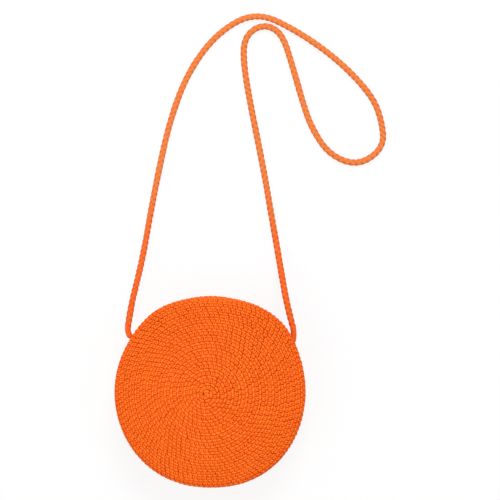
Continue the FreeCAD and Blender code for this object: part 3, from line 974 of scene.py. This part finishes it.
def lining_sheet(name, first_line, last_line, first_angle, last_angle):
    """Grid on the wall's surface, below the stitches."""
    line, theta = np.meshgrid(np.linspace(first_line, last_line, LINING_ROWS),
                              np.linspace(first_angle, last_angle, LINING_COLUMNS), indexing="ij")
    points = wall_point(line, theta, np.full_like(line, LINING_LIFT))
    maps = np.stack([theta * OUTER_RADIUS, line], axis=-1) * MM
    piece = grid_piece(name, points, maps, lining_cotton, LINING_THICKNESS)
    return piece


lining_back = lining_sheet("lining_back_cloth", LINING_HOLE, SIDE_LOW, 0.0, TURN)
lining_front = lining_sheet("lining_front_cloth", SIDE_HIGH, LINE_END - LINING_HOLE, 0.0, TURN)
lining_side = lining_sheet("lining_side_cloth", SIDE_LOW, SIDE_HIGH, np.pi / 2 + SLOT_ANGLE,
                           np.pi / 2 + TURN - SLOT_ANGLE)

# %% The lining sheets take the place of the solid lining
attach(lining_back, "bag")
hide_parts("back_lining")
bends_at_mouth(lining_front)
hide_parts("front_lining", "flap_lining")
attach(lining_side, "bag")
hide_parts("side_lining")

# %% [markdown]
# ## The zip
#
# A zip is two woven tapes with a row of moulded teeth each. The tapes lie behind the edges of the slot,
# and the teeth of the two rows stand half a step apart. The solid teeth have sharp edges and moulded
# ones don't, so new ones are made: each is a stack of rounded squares with a waist between root and
# head. The slider, tab and stops are right as solids, and only get their brass finish.

# %% Tapes
TAPE_RADIUS = OUTER_RADIUS - WALL - 0.6
TAPE_WIDTH = tape_high[2] - tape_low[2]
TAPE_EDGE = ZIP_Z - tape_high[2]
TAPE_ANGLE = SLOT_ANGLE + 3.2 / TAPE_RADIUS
TAPE_THICKNESS = 0.5
TAPE_ROWS = 14
TAPE_COLUMNS = 180
CORDED_EDGE = 0.35
CORDED_WIDTH = 0.8


def zip_tape(name, side):
    """Curved strip: angle along the zip, height across it, with a thicker corded edge at the teeth."""
    share, angle = np.meshgrid(np.linspace(0, 1, TAPE_ROWS),
                               np.linspace(-TAPE_ANGLE, TAPE_ANGLE, TAPE_COLUMNS), indexing="ij")
    height = ZIP_Z + side * (TAPE_EDGE + share * TAPE_WIDTH)
    radius = TAPE_RADIUS + CORDED_EDGE * np.exp(-(share * TAPE_WIDTH / CORDED_WIDTH) ** 2)
    points = np.stack([radius * np.sin(side * angle), radius * np.cos(angle), height], axis=-1)
    maps = np.stack([angle * TAPE_RADIUS, share * TAPE_WIDTH], axis=-1) * MM
    piece = grid_piece(name, points[:, ::-1], maps, zip_weave, TAPE_THICKNESS)
    return piece


tape_back = zip_tape("zip_tape_back_weave", -1)
tape_front = zip_tape("zip_tape_front_weave", 1)
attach(tape_back, "bag")
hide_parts("zip_tape_back")
bends_at_mouth(tape_front)
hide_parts("zip_tape_front", "zip_tape_front_ends")

# %% Teeth
TOOTH_PITCH = 2.9
TEETH_EACH_WAY = 28
TOOTH_LENGTH = 2.75
TOOTH_SIDES = 10
SQUARENESS = 0.6
SLIT = 0.4
# From root to head: share of the length, half width along the zip, half depth through the tape.
TOOTH_RINGS = np.array([
    (0.0, 0.72, 1.05), (0.08, 0.92, 1.25), (0.35, 0.62, 1.2), (0.6, 0.7, 1.2), (0.88, 0.86, 1.15),
    (1.0, 0.45, 0.7)])


def rounded_square(wave):
    """A sine or cosine drawn out towards its ends, which makes a circle a rounded square."""
    return np.sign(wave) * np.abs(wave) ** SQUARENESS


def tooth_row(name, side, offset):
    """Rounded blocks: each a closed stack of rounded squares from root to head, set along the arc."""
    steps = np.arange(-TEETH_EACH_WAY, TEETH_EACH_WAY + 1 - 2 * offset) + offset
    bearing = (steps * TOOTH_PITCH / TAPE_RADIUS)[:, None, None]
    share, wide, deep = TOOTH_RINGS.T
    angle = np.linspace(0, TURN, TOOTH_SIDES, endpoint=False) + TURN / (2 * TOOTH_SIDES)
    across = wide[:, None] * rounded_square(np.cos(side * angle))
    reach = TAPE_RADIUS + deep[:, None] * rounded_square(np.sin(side * angle))
    x = reach * np.sin(bearing) + across * np.cos(bearing)
    y = reach * np.cos(bearing) - across * np.sin(bearing)
    height = ZIP_Z + side * (SLIT + (1 - share) * TOOTH_LENGTH)
    z = np.broadcast_to(height[:, None], x.shape)
    quads, caps = tube_faces(*x.shape)
    faces = quads.tolist() + caps.tolist()
    piece = new_piece(name, np.stack([x, y, z], axis=-1), faces, moulded_teeth)
    return piece


teeth_back = tooth_row("zip_teeth_back_row", -1, 0.0)
teeth_front = tooth_row("zip_teeth_front_row", 1, 0.5)
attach(teeth_back, "bag")
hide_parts("zip_teeth_back")
bends_at_mouth(teeth_front)
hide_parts("zip_teeth_front", "zip_teeth_front_ends")

# %% Slider, tab and stops keep their solid shapes
brass_nodes = ("slider_body", "slider_crown", "pull_tab", "zip_bottom_stop", "zip_top_stops")
for name in brass_nodes:
    nodes[name].data.materials.clear()
    nodes[name].data.materials.append(satin_brass)
print("brass on", ", ".join(brass_nodes))

# %% [markdown]
# ## Floor and light
#
# The bag lies on a white sweep under soft light. A floor lit until it is white would bleach the bag too,
# so white is mixed in only where the floor is looked at, and it darkens where bag and strap shade it. The
# main light comes from the top of the picture, so that each bump of the yarn has a bright and a shaded
# side.

# %% Stage
FLOOR_HALF = 3000.0
FLOOR_DROP = 0.05
FLOOR_COLOUR = (0.86, 0.86, 0.86, 1.0)
FLOOR_ROUGHNESS = 0.9
FLOOR_WHITE = 0.85


def white_when_seen(tree, plain, output, share):
    """Mixes a shader with plain white, by a share, for camera, glossy and transmission rays."""
    white = node(tree, "ShaderNodeEmission" if output == "Material Output" else "ShaderNodeBackground")
    feed(tree, white.inputs, {"Color": WHITE, "Strength": 1.0})
    rays = node(tree, "ShaderNodeLightPath")
    seen = maths(tree, "MAXIMUM", rays.outputs["Is Camera Ray"], rays.outputs["Is Glossy Ray"])
    seen = maths(tree, "MAXIMUM", seen, rays.outputs["Is Transmission Ray"])
    mixed = node(tree, "ShaderNodeMixShader")
    feed(tree, mixed.inputs, {0: maths(tree, "MULTIPLY", seen, share), 1: plain.outputs[0],
                              2: white.outputs[0]})
    tree.links.new(mixed.outputs[0], tree.nodes[output].inputs["Surface"])


sweep, sweep_tree, sweep_shader = new_material("white_sweep")
feed(sweep_tree, sweep_shader.inputs, {
    "Base Color": FLOOR_COLOUR, "Roughness": FLOOR_ROUGHNESS, "Specular IOR Level": 0.0})
white_when_seen(sweep_tree, sweep_shader, "Material Output", FLOOR_WHITE)

square = np.array([(-1, -1, 0), (1, -1, 0), (1, 1, 0), (-1, 1, 0)])
floor = new_piece("floor", square * FLOOR_HALF - (0, 0, FLOOR_DROP), [[0, 1, 2, 3]], sweep)

# %% Lights and world
LIGHT_AIM = Vector((0.03, 0.10, 0.03))
SKY_STRENGTH = 0.6


def soft_light(name, place, size, watts):
    """Square area light, in metres, aimed near the middle of bag and strap."""
    light_data = bpy.data.lights.new(name, "AREA")
    light_data.size = size
    light_data.energy = watts
    light = bpy.data.objects.new(name, light_data)
    light.location = place
    light.rotation_euler = (LIGHT_AIM - light.location).to_track_quat("-Z", "Y").to_euler()
    bpy.context.scene.collection.objects.link(light)
    print(f"light {name}: {watts:.0f} W from {place}")


soft_light("key", place=(0.25, 1.7, 1.9), size=1.1, watts=38.0)
soft_light("fill", place=(-1.2, -1.0, 2.0), size=1.6, watts=16.0)

world = bpy.data.worlds.new("studio")
world.use_nodes = True
sky = world.node_tree.nodes["Background"]
feed(world.node_tree, sky.inputs, {"Color": WHITE, "Strength": SKY_STRENGTH})
white_when_seen(world.node_tree, sky, "World Output", 1.0)
bpy.context.scene.world = world
bpy.context.scene.view_settings.view_transform = "Standard"
